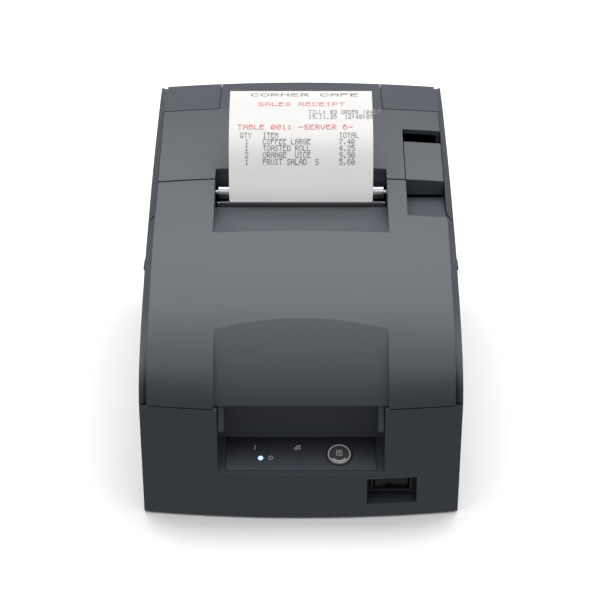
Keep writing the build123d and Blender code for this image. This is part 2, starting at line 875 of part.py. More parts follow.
guide_top = 109.5
with BuildPart() as paper_guide:
    block((-plate_x, plate_x), (tear_edge_y + 0.8, tear_edge_y + 2.6), (guide_top - 7.0, guide_top))
    pair_of_blocks((slot_half + 3.0, plate_x), (tear_edge_y + 2.6, mech_rear_y - 6), (guide_top - 7.0, guide_top - 5.6))
save(paper_guide, "paper_guide")

tooth_pitch = 1.6
tear_top = 115.4
tear_half = 44.6
with BuildPart() as tear_bar:
    block((-tear_half, tear_half), (tear_edge_y + 2.6, tear_edge_y + 3.4), (guide_top - 5.0, tear_top))
    with BuildSketch(Plane.XZ.offset(-tear_edge_y - 3.4)) as teeth:
        with GridLocations(tooth_pitch, 0, int(2 * (tear_half - 1) / tooth_pitch), 1):
            with Locations((0, tear_top)):
                Triangle(a=tooth_pitch, b=1.28, c=1.28)
    extrude(teeth.sketch, amount=0.8)
save(tear_bar, "tear_bar")

# ---- carriage and print head ------------------------------------------------
shaft_clear = 0.05
nose_y = paper_y - 1.6
carriage_top = shaft_z + 5.5
with BuildPart() as carriage:
    block((-carriage_half, carriage_half), (rail_y - 1.5, shaft_y + 8), (shaft_z - 6.0, carriage_top))
    block((-carriage_half, carriage_half), (rail_y - 4, rail_y + 4), (rail_z - 2.5, rail_z + 0.5), Mode.SUBTRACT)
    block((-4.0, 4.0), (belt_y - 3, belt_y + 3), (belt_z + belt_width / 2 + 0.3, shaft_z - 5.0))
    rod_x(shaft_radius + shaft_clear, (-40, 40), shaft_y, shaft_z, Mode.SUBTRACT)
save(carriage, "carriage")

with BuildPart() as print_head:
    head_z = platen_z
    rod_y(12.0, 0, (shaft_y - 12, shaft_y + 2), head_z)
    block((-9.0, 9.0), (shaft_y - 12, shaft_y + 6), (carriage_top, carriage_top + 3.0))
    with BuildSketch(Plane.XZ.offset(-shaft_y - 2)) as root_face:
        with Locations((0, head_z)):
            Rectangle(14.0, 14.0)
    with BuildSketch(Plane.XZ.offset(-nose_y)) as nose_face:
        with Locations((0, head_z)):
            Rectangle(3.0, 7.0)
    loft([root_face.sketch, nose_face.sketch])
    for fin in range(4):
        fin_y = shaft_y - 11.0 + 3.2 * fin
        rod_y(13.0, 0, (fin_y, fin_y + 1.2), head_z)
    block((-14.0, 14.0), (shaft_y - 13, shaft_y + 4), (head_z - 15, carriage_top), Mode.SUBTRACT)
save(print_head, "print_head")

# ---- carriage drive ---------------------------------------------------------


def belt_pulley(x):
    """A flanged pulley that turns about Z."""
    rod_z(pulley_radius, x, belt_y, (belt_z - belt_width / 2 - 0.5, belt_z + belt_width / 2 + 0.5))
    rod_z(pulley_radius + 1.6, x, belt_y, (belt_z - belt_width / 2 - 1.5, belt_z - belt_width / 2 - 0.5))
    rod_z(pulley_radius + 1.6, x, belt_y, (belt_z + belt_width / 2 + 0.5, belt_z + belt_width / 2 + 1.5))
    rod_z(1.5 + running_fit, x, belt_y, (belt_z - 10, belt_z + 10), Mode.SUBTRACT)


with BuildPart() as drive_pulley:
    belt_pulley(-pulley_x)
save(drive_pulley, "drive_pulley")
with BuildPart() as idler_pulley:
    belt_pulley(pulley_x)
save(idler_pulley, "idler_pulley")

with BuildPart() as idler_pin:
    rod_z(1.5, pulley_x, belt_y, (mech_floor_z + sheet, belt_z + belt_width / 2 + 2.5))
    rod_z(3.0, pulley_x, belt_y, (mech_floor_z + sheet, belt_z - belt_width / 2 - 2.0))
save(idler_pin, "idler_pin")

belt_clear = 0.3
with BuildPart() as timing_belt:
    with BuildSketch(Plane.XY.offset(belt_z - belt_width / 2)) as loop:
        with Locations((0, belt_y)):
            SlotCenterToCenter(2 * pulley_x, 2 * (pulley_radius + belt_clear + belt_thickness))
            SlotCenterToCenter(2 * pulley_x, 2 * (pulley_radius + belt_clear), mode=Mode.SUBTRACT)
    extrude(loop.sketch, amount=belt_width)
save(timing_belt, "timing_belt")

carriage_motor_radius = 14.0
with BuildPart() as carriage_motor:
    rod_z(carriage_motor_radius, -pulley_x + 4, belt_y, (mech_floor_z - 22, mech_floor_z - 0.1))
    rod_z(1.5, -pulley_x, belt_y, (mech_floor_z - 1, belt_z + belt_width / 2 + 1.5))
save(carriage_motor, "carriage_motor")

# ---- paper feed -------------------------------------------------------------
with BuildPart() as feed_roller:
    rod_x(feed_shaft_radius, (gear_x - gear_width / 2, plate_x + sheet + 2), feed_y, feed_z)
    for start in (-34.0, -8.0, 18.0):
        rod_x(feed_radius, (start, start + 16.0), feed_y, feed_z)
save(feed_roller, "feed_roller")


def gear_outline(teeth, turned):
    """A spur gear's plan, turned by an angle, with backlash in its teeth."""
    pitch_radius = gear_module * teeth / 2
    root_radius = pitch_radius - 1.25 * gear_module
    tip_radius = pitch_radius + 0.75 * gear_module
    step = 360.0 / teeth
    root_share = 0.225
    tip_share = 0.07
    points = []
    for tooth in range(teeth):
        for radius, turn in (
            (root_radius, -root_share), (tip_radius, -tip_share),
            (tip_radius, tip_share), (root_radius, root_share),
        ):
            angle = math.radians((tooth + turn) * step + turned)
            points.append((radius * math.cos(angle), radius * math.sin(angle)))
    return points


def spur_gear(teeth, x, y, z, turn, bore):
    """A gear about X whose first tooth points along +Y, turned by an angle."""
    with BuildSketch(Plane(origin=(x, y, z), x_dir=(0, 1, 0), z_dir=(1, 0, 0))) as face:
        with BuildLine():
            Polyline(*gear_outline(teeth, turn), close=True)
        make_face()
        Circle(bore, mode=Mode.SUBTRACT)
    extrude(face.sketch, amount=gear_width)


gear_left_x = gear_x - gear_width / 2

with BuildPart() as feed_gear:
    spur_gear(feed_teeth, gear_left_x, feed_y, feed_z, mesh_angle, feed_shaft_radius)
save(feed_gear, "feed_gear")

with BuildPart() as motor_pinion:
    spur_gear(pinion_teeth, gear_left_x, motor_y, motor_z,
              mesh_angle + 180.0 + 180.0 / pinion_teeth, 1.0 + running_fit)
save(motor_pinion, "motor_pinion")

with BuildPart() as feed_motor:
    rod_x(9.5, (-plate_x + sheet + 0.3, -plate_x + 20), motor_y, motor_z)
    rod_x(1.0, (gear_left_x, -plate_x + sheet + 1), motor_y, motor_z)
save(feed_motor, "feed_motor")

# ---- ribbon cassette --------------------------------------------------------
cassette_half = 60.0
cassette_rear_y = -33.0
cassette_front_y = -58.0
cassette_z = 85.0
cassette_height = 9.0
ribbon_y = nose_y + 0.5
arm_x = 52.0
with BuildPart() as ribbon_cassette:
    block((-cassette_half, cassette_half), (cassette_front_y, cassette_rear_y),
          (cassette_z, cassette_z + cassette_height))
    block((-cassette_half + 1.5, cassette_half - 1.5), (cassette_front_y + 1.5, cassette_rear_y - 1.5),
          (cassette_z + 1.5, cassette_z + cassette_height + 1), Mode.SUBTRACT)
    pair_of_blocks((arm_x, cassette_half), (cassette_rear_y - 1, ribbon_y - 2.0),
                   (cassette_z + 2, cassette_z + cassette_height))
save(ribbon_cassette, "ribbon_cassette")

knob_x = 40.0
knob_y = -46.0
with BuildPart() as cassette_lid:
    block((-cassette_half, cassette_half), (cassette_front_y, cassette_rear_y),
          (cassette_z + cassette_height, cassette_z + cassette_height + 1.2))
    rod_z(3.0 + running_fit, knob_x, knob_y, (0, 200), Mode.SUBTRACT)
save(cassette_lid, "cassette_lid")

with BuildPart() as ribbon_knob:
    rod_z(3.0, knob_x, knob_y, (cassette_z + 3, cassette_z + cassette_height + 1.5))
    rod_z(7.0, knob_x, knob_y, (cassette_z + cassette_height + 1.5, cassette_z + cassette_height + 4.5))
    with BuildSketch(Plane.XY.offset(cassette_z + cassette_height + 1.5)) as grips:
        with Locations((knob_x, knob_y)):
            with PolarLocations(7.0, 8):
                Circle(1.0)
    extrude(grips.sketch, amount=3.0, mode=Mode.SUBTRACT)
save(ribbon_knob, "ribbon_knob")

with BuildPart() as ink_ribbon:
    block((-cassette_half + 1, cassette_half - 1), (ribbon_y, ribbon_y + 0.3), (platen_z - 4.0, platen_z + 4.0))
    pair_of_blocks((cassette_half - 1.3, cassette_half - 1), (ribbon_y - 2.0, ribbon_y + 0.3),
                   (platen_z - 4.0, platen_z + 4.0))
save(ink_ribbon, "ink_ribbon")

# ---- exit roller and latch bar, carried by the roll cover -------------------
with BuildPart() as exit_roller:
    rod_x(exit_roller_radius, (-slot_half + 1.5, slot_half - 1.5), exit_roller_y, exit_roller_z)
    rod_x(exit_shaft_radius, (-slot_half - 5, slot_half + 5), exit_roller_y, exit_roller_z)
save(exit_roller, "exit_roller")

# ---- paper roll and its bin -------------------------------------------------
with BuildPart() as roll_bin:
    rod_x(bin_radius + bin_wall, (-bin_half - bin_wall, bin_half + bin_wall), roll_y, roll_z)
    rod_x(bin_radius, (-bin_half, bin_half), roll_y, roll_z, Mode.SUBTRACT)
    block((-case_width, case_width), (0, case_depth), (roll_z + 8, 2 * roll_z), Mode.SUBTRACT)
    block((-case_width, case_width), (0, mech_rear_y + 1.0), (0, 2 * roll_z), Mode.SUBTRACT)
save(roll_bin, "roll_bin")

with BuildPart() as roll_core:
    rod_x(core_radius, (-paper_width / 2, paper_width / 2), roll_y, roll_z - bin_radius + roll_radius + 0.4)
    rod_x(core_radius - 2, (-paper_width, paper_width), roll_y, roll_z - bin_radius + roll_radius + 0.4,
          Mode.SUBTRACT)
save(roll_core, "roll_core")

with BuildPart() as paper_roll:
    rod_x(roll_radius, (-paper_width / 2, paper_width / 2), roll_y, roll_z - bin_radius + roll_radius + 0.4)
    rod_x(core_radius, (-paper_width, paper_width), roll_y, roll_z - bin_radius + roll_radius + 0.4,
          Mode.SUBTRACT)
save(paper_roll, "paper_roll")

# ---- receipt ----------------------------------------------------------------
receipt_path = [
    (paper_y, tear_top - 3.0),
    (paper_y - 2.2, tear_top + 14.0),
    (paper_y + 3.4, tear_top + 30.0),
    (paper_y + 19.0, tear_top + 41.0),
    (paper_y + 41.0, tear_top + 45.6),
]
with BuildPart() as receipt:
    back = [(y + paper_thickness * 0.8, z - paper_thickness * 0.6) for y, z in receipt_path]
    with BuildSketch(Plane.YZ.offset(-paper_width / 2)) as edge:
        with BuildLine():
            Spline(*receipt_path)
            Line(receipt_path[-1], back[-1])
            Spline(*reversed(back))
            Line(back[0], receipt_path[0])
        make_face()
    extrude(edge.sketch, amount=paper_width)
save(receipt, "receipt")

# ---- near-end lever ---------------------------------------------------------
sensor_z = 52.0
sensor_y = 92.0
with BuildPart() as near_end_lever:
    rod_x(2.5, (-bin_half - bin_wall - 3.0, -bin_half - bin_wall - 0.4), sensor_y + 8, sensor_z)
    block((-bin_half - bin_wall - 3.0, -bin_half - bin_wall - 0.4), (sensor_y - 10, sensor_y + 8),
          (sensor_z - 1.2, sensor_z + 1.2))
    rod_x(1.2 + running_fit, (-case_width, 0), sensor_y + 8, sensor_z, Mode.SUBTRACT)
save(near_end_lever, "near_end_lever")

with BuildPart() as sensor_pin:
    rod_x(1.2, (-bin_half - bin_wall - 6.0, -bin_half - bin_wall), sensor_y + 8, sensor_z)
save(sensor_pin, "sensor_pin")

# ---- boards and connectors --------------------------------------------------
board_rear_y = rear_y - case_wall - 6.0
with BuildPart() as main_board:
    block((-64.0, 64.0), (-76.0, board_rear_y), (board_z, board_z + board_thickness))
    with Locations(*[(x, y, board_z) for x in (-58, 58) for y in (-70, 84)]):
        Cylinder(1.6, 10, mode=Mode.SUBTRACT)
save(main_board, "main_board")

with BuildPart() as board_chips:
    top = board_z + board_thickness
    block((-20.0, 0.0), (-40.0, -20.0), (top, top + 2.4))
    block((14.0, 26.0), (-30.0, -22.0), (top, top + 2.0))
    block((14.0, 26.0), (-12.0, -4.0), (top, top + 2.0))
    with Locations(*[(48, y, top + 5.0) for y in (-44, -30)]):
        Cylinder(4.5, 10.0)
save(board_chips, "board_chips")

with BuildPart() as interface_plate:
    block((-connector_half - 2, connector_half + 2), (rear_y - case_wall - 2.0, rear_y - case_wall - 0.8),
          (connector_low - 2, connector_high + 2))
    block((-50.0, -28.0), (0, rear_y), (board_z + 2, board_z + 12), Mode.SUBTRACT)
    block((-18.0, -4.0), (0, rear_y), (board_z + 2, board_z + 14), Mode.SUBTRACT)
    block((6.0, 22.0), (0, rear_y), (board_z + 2, board_z + 14), Mode.SUBTRACT)
    block((30.0, 46.0), (0, rear_y), (board_z + 2, board_z + 14), Mode.SUBTRACT)
save(interface_plate, "interface_plate")


def socket_shell(x, width, height, wall):
    """A rectangular connector housing that opens to the rear."""
    low = board_z + board_thickness + 0.5
    block((x - width / 2, x + width / 2), (board_rear_y - 12, rear_y - case_wall - 0.2), (low, low + height))
    block((x - width / 2 + wall, x + width / 2 - wall), (board_rear_y - 6, rear_y),
          (low + wall, low + height - wall), Mode.SUBTRACT)


with BuildPart() as power_inlet:
    socket_shell(-39.0, 21.0, 9.6, 1.6)
save(power_inlet, "power_inlet")
with BuildPart() as drawer_jack:
    socket_shell(-11.0, 13.0, 11.4, 1.5)
save(drawer_jack, "drawer_jack")
with BuildPart() as usb_port:
    socket_shell(14.0, 14.0, 11.0, 1.5)
save(usb_port, "usb_port")
with BuildPart() as network_port:
    socket_shell(38.0, 15.0, 11.4, 1.3)
save(network_port, "network_port")

# ---- screws -----------------------------------------------------------------
with BuildPart() as board_screws:
    with Locations(*[(x, y, board_z + board_thickness + 0.7) for x in (-58, 58) for y in (-70, 84)]):
        Cylinder(2.8, 1.4)
    with Locations(*[(x, y, board_z + board_thickness / 2) for x in (-58, 58) for y in (-70, 84)]):
        Cylinder(1.55, board_thickness)
save(board_screws, "board_screws")
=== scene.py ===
import json
import math

import bmesh
import bpy
from bpy.props import FloatProperty, FloatVectorProperty
from bpy.types import Operator, Panel, PropertyGroup
from mathutils import Matrix, Vector


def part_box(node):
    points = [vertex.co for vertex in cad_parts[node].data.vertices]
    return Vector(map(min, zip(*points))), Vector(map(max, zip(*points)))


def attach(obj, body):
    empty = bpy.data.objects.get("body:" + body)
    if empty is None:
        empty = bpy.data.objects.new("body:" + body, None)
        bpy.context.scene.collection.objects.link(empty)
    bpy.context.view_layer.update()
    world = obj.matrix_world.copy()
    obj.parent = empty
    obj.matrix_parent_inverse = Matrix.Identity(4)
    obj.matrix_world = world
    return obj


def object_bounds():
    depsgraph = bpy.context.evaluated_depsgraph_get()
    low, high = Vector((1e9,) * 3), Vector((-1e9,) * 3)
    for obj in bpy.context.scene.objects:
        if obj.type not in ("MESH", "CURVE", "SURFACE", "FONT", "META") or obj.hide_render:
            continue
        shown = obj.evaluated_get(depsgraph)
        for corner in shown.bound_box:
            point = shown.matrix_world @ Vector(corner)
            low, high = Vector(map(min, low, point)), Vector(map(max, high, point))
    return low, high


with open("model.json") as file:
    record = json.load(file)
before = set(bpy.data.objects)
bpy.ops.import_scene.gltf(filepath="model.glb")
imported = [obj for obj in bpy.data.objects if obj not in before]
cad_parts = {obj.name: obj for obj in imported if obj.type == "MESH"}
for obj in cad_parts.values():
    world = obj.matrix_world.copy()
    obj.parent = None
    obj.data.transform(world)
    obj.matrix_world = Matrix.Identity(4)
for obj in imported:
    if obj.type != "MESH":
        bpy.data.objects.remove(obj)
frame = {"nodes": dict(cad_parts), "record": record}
cad_bounds = [list(corner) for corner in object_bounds()]

bl_info = {
    "name": "Receipt Printer Looks",
    "version": (1, 0, 0),
    "blender": (4, 5, 0),
    "location": "3D View > Sidebar > Printer",
    "description": "Builds the printed paper, signs, finishes and studio of a receipt printer",
    "category": "Object",
}

MM = 0.001
PRINT_LIFT = 0.00012      # thickness of the ink on the receipt
SIGN_LIFT = 0.00004       # thickness of the ink on the plastic
FULL_TURN = 2 * math.pi
DOT_ROWS = 7
DOT_COLUMNS = 5
DOT_ADVANCE = 6           # columns from one character to the next
DOT_FILL = 0.96           # share of its pitch that a dot fills
WHITE = (1.0, 1.0, 1.0, 1)
DUST = (0.5, 0.5, 0.5, 1)
CAMERA_PIVOT = (0, 0.0253, 0.0447)
CAMERA_SHIFT = -0.0017
SENSOR_WIDTH = 36         # in millimetres
SURROUND_STRENGTH = 0.4
FLOOR_REACH = 3.0         # how far the floor runs towards the camera
FLOOR_HALF_WIDTH = 4.0
SWEEP_START = 2.0         # where the floor starts to rise behind the printer
SWEEP_RADIUS = 1.2
SWEEP_TOP = 5.0
SWEEP_STEPS = 15
SWEEP_STEP_TURN = 6       # in degrees

# Each light: name, place from the printer's middle, width and height, power.
LIGHTS = (
    ("KeyLight", (0.02, 0.50, 1.22), (1.9, 0.96), 22.0),
    ("FrontLight", (0.0, -0.62, 1.10), (1.9, 0.9), 7.0),
    ("LeftLight", (-1.4, 0.1, 0.7), (0.8, 1.2), 4.0),
    ("RightLight", (1.4, 0.1, 0.7), (0.8, 1.2), 4.5),
)


# ---- shader helpers ---------------------------------------------------------
class Wire:
    """A shader socket that can be used in Python expressions."""

    def __init__(self, tree, socket):
        self.tree = tree
        self.socket = socket

    def _math(self, operation, first, second):
        return node(self.tree, "ShaderNodeMath", {"operation": operation}, {0: first, 1: second})

    def __add__(self, other):
        return self._math("ADD", self, other)

    def __sub__(self, other):
        return self._math("SUBTRACT", self, other)

    def __mul__(self, other):
        return self._math("MULTIPLY", self, other)

    def __truediv__(self, other):
        return self._math("DIVIDE", self, other)

    def __rsub__(self, other):
        return self._math("SUBTRACT", other, self)

    __radd__ = __add__
    __rmul__ = __mul__


def node(tree, kind, settings, inputs, output=0):
    """Add a node, set it up, feed its sockets and return one output."""
    made = tree.nodes.new(kind)
    for name, value in settings.items():
        if name == "stops":
            for stop, (position, tone) in zip(made.color_ramp.elements, value):
                stop.position = position
                stop.color = (tone, tone, tone, 1)
        else:
            setattr(made, name, value)
    for name, value in inputs.items():
        if isinstance(value, Wire):
            tree.links.new(value.socket, made.inputs[name])
        else:
            made.inputs[name].default_value = value
    return Wire(tree, made.outputs[output])


def place(tree):
    """Object coordinates."""
    return node(tree, "ShaderNodeTexCoord", {}, {}, "Object")


def axis(tree, which):
    """One object coordinate."""
    return node(tree, "ShaderNodeSeparateXYZ", {}, {0: place(tree)}, which)


def noise(tree, scale, detail=2.0, rough=0.5):
    """Noise in object coordinates."""
    return node(tree, "ShaderNodeTexNoise", {}, {
        "Vector": place(tree), "Scale": scale, "Detail": detail, "Roughness": rough}, 0)


def ramp(tree, value, *stops):
    """A grey ramp between two stops, each a position and a tone."""
    return node(tree, "ShaderNodeValToRGB", {"stops": stops}, {0: value}, 0)


def mix_colour(tree, share, first, second):
    """A blend of two colours, each of them fixed or wired."""
    made = tree.nodes.new("ShaderNodeMix")
    made.data_type = "RGBA"
    for index, value in ((0, share), (6, first), (7, second)):
        if isinstance(value, Wire):
            tree.links.new(value.socket, made.inputs[index])
        else:
            made.inputs[index].default_value = value
    return Wire(tree, made.outputs[2])


def bump(tree, height, distance, strength=1.0, soften=0.0):
    """Surface relief, on rounded edges where they are asked for."""
    inputs = {"Height": height, "Distance": distance, "Strength": strength}
    if soften:
        inputs["Normal"] = node(tree, "ShaderNodeBevel", {"samples": 6}, {"Radius": soften}, 0)
    return node(tree, "ShaderNodeBump", {}, inputs, 0)


def finish_material(name, constants, wires):
    """A Principled material: constants on its sockets, and wires made by a function."""
    material = bpy.data.materials.new(name)
    material.use_nodes = True
    tree = material.node_tree
    shader = tree.nodes["Principled BSDF"]
    for socket, value in constants.items():
        shader.inputs[socket].default_value = value
    for socket, wire in wires(tree).items():
        tree.links.new(wire.socket, shader.inputs[socket])
    return material


def rgba(colour, factor=1.0):
    """A colour made lighter or darker, with full alpha."""
    return (colour[0] * factor, colour[1] * factor, colour[2] * factor, 1)


# ---- finishes ---------------------------------------------------------------
def moulded(name, colour, roughness, grain=0.00006, scale=1500.0, soften=0.0005, level=0.5):
    """Spark-textured moulded plastic with slight tone variation and rounded edges."""
    def wires(tree):
        fine = noise(tree, scale, 3.0, 0.6)
        broad = noise(tree, 18.0, 2.0)
        tone = ramp(tree, broad * 0.7 + fine * 0.3, (0.3, 0.0), (0.7, 1.0))
        return {
            "Base Color": mix_colour(tree, tone, rgba(colour, 0.94), rgba(colour, 1.06)),
            "Roughness": fine * 0.14 + (roughness - 0.07) + broad * 0.03,
            "Normal": bump(tree, fine, grain, 0.5, soften),
        }
    return finish_material(name, {"Specular IOR Level": level}, wires)


def gloss(name, colour, roughness):
    """Polished plastic with faint ripples and dust."""
    def wires(tree):
        ripple = noise(tree, 60.0, 2.0)
        dust = ramp(tree, noise(tree, 900.0, 3.0, 0.7), (0.62, 0.0), (0.75, 1.0))
        return {
            "Base Color": mix_colour(tree, dust * 0.06, rgba(colour), DUST),
            "Roughness": dust * 0.15 + roughness,
            "Normal": bump(tree, ripple, 0.00002, 0.4, 0.0003),
        }
    constants = {"Specular IOR Level": 0.3, "Coat Weight": 0.15, "Coat Roughness": 0.05}
    return finish_material(name, constants, wires)


def brushed(name, colour, roughness, along):
    """Drawn or rolled steel with streaks along one axis."""
    def wires(tree):
        stretch = [2200.0, 2200.0, 2200.0]
        stretch[along] = 40.0
        spread = node(tree, "ShaderNodeMapping", {}, {"Vector": place(tree), "Scale": stretch}, 0)
        streak = node(tree, "ShaderNodeTexNoise", {}, {"Vector": spread, "Scale": 1.0, "Detail": 3.0}, 0)
        stain = noise(tree, 30.0, 3.0)
        return {
            "Base Color": mix_colour(tree, stain, rgba(colour, 0.85), rgba(colour, 1.1)),
            "Roughness": streak * 0.2 + (roughness - 0.1),
            "Normal": bump(tree, streak, 0.00002, 0.5, 0.0003),
        }
    return finish_material(name, {"Metallic": 1.0}, wires)


def paper_material(name, colour, rings=None):
    """Thin paper with fibres, and the edges of its turns on a roll."""
    def wires(tree):
        fibre = noise(tree, 2600.0, 4.0, 0.7)
        cloud = noise(tree, 120.0, 2.0)
        base = mix_colour(tree, fibre * 0.6 + cloud * 0.4, rgba(colour, 0.95), rgba(colour, 1.03))
        height = fibre
        if rings:
            flat = node(tree, "ShaderNodeCombineXYZ", {}, {
                0: 0.0, 1: axis(tree, 1) - rings[0], 2: axis(tree, 2) - rings[1]}, 0)
            radius = node(tree, "ShaderNodeVectorMath", {"operation": "LENGTH"}, {0: flat}, "Value")
            wave = node(tree, "ShaderNodeMath", {"operation": "SINE"}, {0: radius * 5200.0}, 0)
            base = mix_colour(tree, wave * 0.12 + 0.12, base, rgba(colour, 0.6))
            height = fibre + wave * 0.5
        return {
            "Base Color": base,
            "Roughness": cloud * 0.1 + 0.75,
            "Normal": bump(tree, height, 0.00003, 0.4),
        }
    return finish_material(name, {}, wires)


def receipt_painted_light_material(name, colour):
    """Receipt paper with painted light: its upright lower part is paler and has a painted glow for light
    through the paper, and its upper end is painted darker, painted shade.
    """
    low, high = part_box("receipt")

    def wires(tree):
        fibre = noise(tree, 2600.0, 4.0, 0.7)
        cloud = noise(tree, 120.0, 2.0)
        rise = (axis(tree, 2) - low.z) / (high.z - low.z)
        # painted light: low down the paper is paler and glows, higher up it is painted darker
        shade = ramp(tree, rise + fibre * 0.04 + cloud * 0.04, (0.25, 0.0), (1.0, 1.0))
        return {
            "Base Color": mix_colour(tree, shade, rgba(colour, 1.06), rgba(colour, 0.70)),
            "Emission Color": mix_colour(tree, shade, (0.27, 0.27, 0.265, 1), (0.02, 0.02, 0.02, 1)),
            "Roughness": cloud * 0.1 + 0.75,
            "Normal": bump(tree, fibre, 0.00003, 0.4),
        }
    return finish_material(name, {"Emission Strength": 1.0}, wires)


def panel_painted_shade_material(name):
    """Fine black plastic, paler towards its front edge, with painted shade darkening it towards its
    rear, under the front cover's overhang.
    """
    low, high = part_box("control_panel")

    def wires(tree):
        fine = noise(tree, 1600.0, 2.0)
        rise = (axis(tree, 2) - low.z) / (high.z - low.z)
        # painted shade: darker towards the rear edge, which lies under the front cover
        shade = ramp(tree, rise + fine * 0.04, (0.05, 0.0), (0.95, 1.0))
        return {
            "Base Color": mix_colour(tree, shade, (0.075, 0.084, 0.105, 1), (0.012, 0.013, 0.018, 1)),
            "Roughness": fine * 0.1 + 0.38,
            "Normal": bump(tree, fine, 0.00003, 0.4, 0.0003),
        }
    return finish_material(name, {}, wires)


def ink_material(name, colour):
    """Ribbon ink struck by pins: uneven, with the paper showing through."""
    def wires(tree):
        dots = node(tree, "ShaderNodeTexVoronoi", {}, {"Vector": place(tree), "Scale": 2600.0}, 0)
        patch = noise(tree, 700.0, 2.0)
        worn = ramp(tree, dots * 0.7 + patch * 0.5, (0.35, 0.0), (0.85, 1.0))
        return {
            "Base Color": mix_colour(tree, worn * 0.55, rgba(colour), (0.72, 0.70, 0.68, 1)),
            "Roughness": patch * 0.1 + 0.8,
        }
    return finish_material(name, {"Specular IOR Level": 0.2}, wires)


def board_material(name):
    """Solder resist over copper tracks, with pads."""
    def wires(tree):
        cells = node(tree, "ShaderNodeTexBrick", {}, {
            "Vector": place(tree), "Scale": 220.0, "Mortar Size": 0.03}, 1)
        pads = node(tree, "ShaderNodeTexVoronoi", {}, {"Vector": place(tree), "Scale": 260.0}, 0)
        pad = ramp(tree, pads, (0.1, 1.0), (0.16, 0.0))
        green = mix_colour(tree, cells, (0.012, 0.10, 0.035, 1), (0.03, 0.19, 0.06, 1))
        return {
            "Base Color": mix_colour(tree, pad, green, (0.62, 0.6, 0.55, 1)),
            "Roughness": 0.5 - pad * 0.2,
            "Normal": bump(tree, cells, 0.00003, 0.4),
        }
    return finish_material(name, {"Coat Weight": 0.3}, wires)


def lamp_material(name, colour, strength):
    """A lit lens, brightest in its middle."""
    low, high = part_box("power_led")
    centre = (low + high) / 2

    def wires(tree):
        offset = node(tree, "ShaderNodeVectorMath", {"operation": "DISTANCE"}, {
            0: place(tree), 1: tuple(centre)}, "Value")
        core = ramp(tree, offset * 260.0, (0.3, 1.0), (0.75, 0.0))
        return {
            "Base Color": mix_colour(tree, core, rgba(colour, 0.5), (0.8, 0.9, 1, 1)),
            "Emission Color": mix_colour(tree, core, rgba(colour), (0.45, 0.75, 1, 1)),
        }
    return finish_material(name, {"Emission Strength": strength, "Roughness": 0.2}, wires)


def white_print(name, tone):
    """Screen-printed white ink."""
    def wires(tree):
        grain = noise(tree, 1800.0, 2.0)
        return {
            "Base Color": mix_colour(tree, grain, (tone * 0.92,) * 3 + (1,), (tone,) * 3 + (1,)),
            "Roughness": grain * 0.1 + 0.45,
        }
    return finish_material(name, {}, wires)


# ---- mesh helpers -----------------------------------------------------------
def new_piece(name, mesh_builder, material, body):
    """Make a mesh object from a bmesh, give it a material and let it ride on a body."""
    mesh = bpy.data.meshes.new(name)
    sculpt = bmesh.new()
    mesh_builder(sculpt)
    sculpt.to_mesh(mesh)
    sculpt.free()
    piece = bpy.data.objects.new(name, mesh)
    bpy.context.scene.collection.objects.link(piece)
    piece.data.materials.append(material)
    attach(piece, body)


def thicken(sculpt, faces):
    """Turn flat faces into closed plates one unit thick, printed side up."""
    made = bmesh.ops.extrude_face_region(sculpt, geom=faces)
    lifted = [v for v in made["geom"] if isinstance(v, bmesh.types.BMVert)]
    bmesh.ops.translate(sculpt, verts=lifted, vec=(0, 0, 1.0))
    bmesh.ops.recalc_face_normals(sculpt, faces=sculpt.faces)


def flat_ring(sculpt, centre, inner, outer, turn=FULL_TURN, start=0.0, steps=40):
    """A flat ring, or part of one, made by spinning a short edge."""
    ends = []
    for radius in (inner, outer):
        spot = (centre[0] + radius * math.cos(start), centre[1] + radius * math.sin(start), 0)
        ends.append(sculpt.verts.new(spot))
    edge = sculpt.edges.new(ends)
    bmesh.ops.spin(sculpt, geom=[*ends, edge], cent=(centre[0], centre[1], 0), axis=(0, 0, 1),
                   angle=turn, steps=steps, use_merge=turn == FULL_TURN, use_duplicate=False)


def flat_bar(sculpt, centre, size, turned=0.0):
    """A flat rectangle."""
    turn = Matrix.Translation((centre[0], centre[1], 0)) @ Matrix.Rotation(turned, 4, "Z")
    scale = Matrix.Diagonal((size[0], size[1], 1, 1))
    bmesh.ops.create_grid(sculpt, x_segments=1, y_segments=1, size=0.5, matrix=turn @ scale)


def flat_disc(sculpt, centre, radius, steps=28):
    """A flat disc."""
    bmesh.ops.create_circle(sculpt, cap_ends=True, segments=steps, radius=radius,
                            matrix=Matrix.Translation((centre[0], centre[1], 0)))


def stroke_box(sculpt, centre, size, width):
    """An outlined rectangle."""
    half_x = size[0] / 2
    half_y = size[1] / 2
    for side in (-1, 1):
        flat_bar(sculpt, (centre[0] + side * half_x, centre[1]), (width, size[1] + width))
        flat_bar(sculpt, (centre[0], centre[1] + side * half_y), (size[0] - width, width))


def sign(name, draw, matrix, material, body):
    """A thin printed sign, drawn flat in millimetres and laid on a plane."""
    def build(sculpt):
        draw(sculpt)
        thicken(sculpt, list(sculpt.faces))
        bmesh.ops.scale(sculpt, verts=sculpt.verts, vec=(MM, MM, SIGN_LIFT))
        bmesh.ops.transform(sculpt, matrix=matrix, verts=sculpt.verts)
        bmesh.ops.recalc_face_normals(sculpt, faces=sculpt.faces)
    new_piece(name, build, material, body)


def panel_matrix():
    """From the panel's own plane, origin at the middle of its front edge, to the frame."""
    low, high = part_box("control_panel")
    tilt = math.radians(sizes().panel_tilt)
    thickness = (high.z - low.z - math.sin(tilt) * sizes().panel_depth) / math.cos(tilt)
    origin = Vector((0, low.y, low.z + thickness * math.cos(tilt)))
    return Matrix.Translation(origin) @ Matrix.Rotation(tilt, 4, "X")


def sizes():
    """The sizes set in the scene."""
    return bpy.context.scene.printer_sizes


def colours():
    """The colours set in the scene."""
    return bpy.context.scene.printer_colours


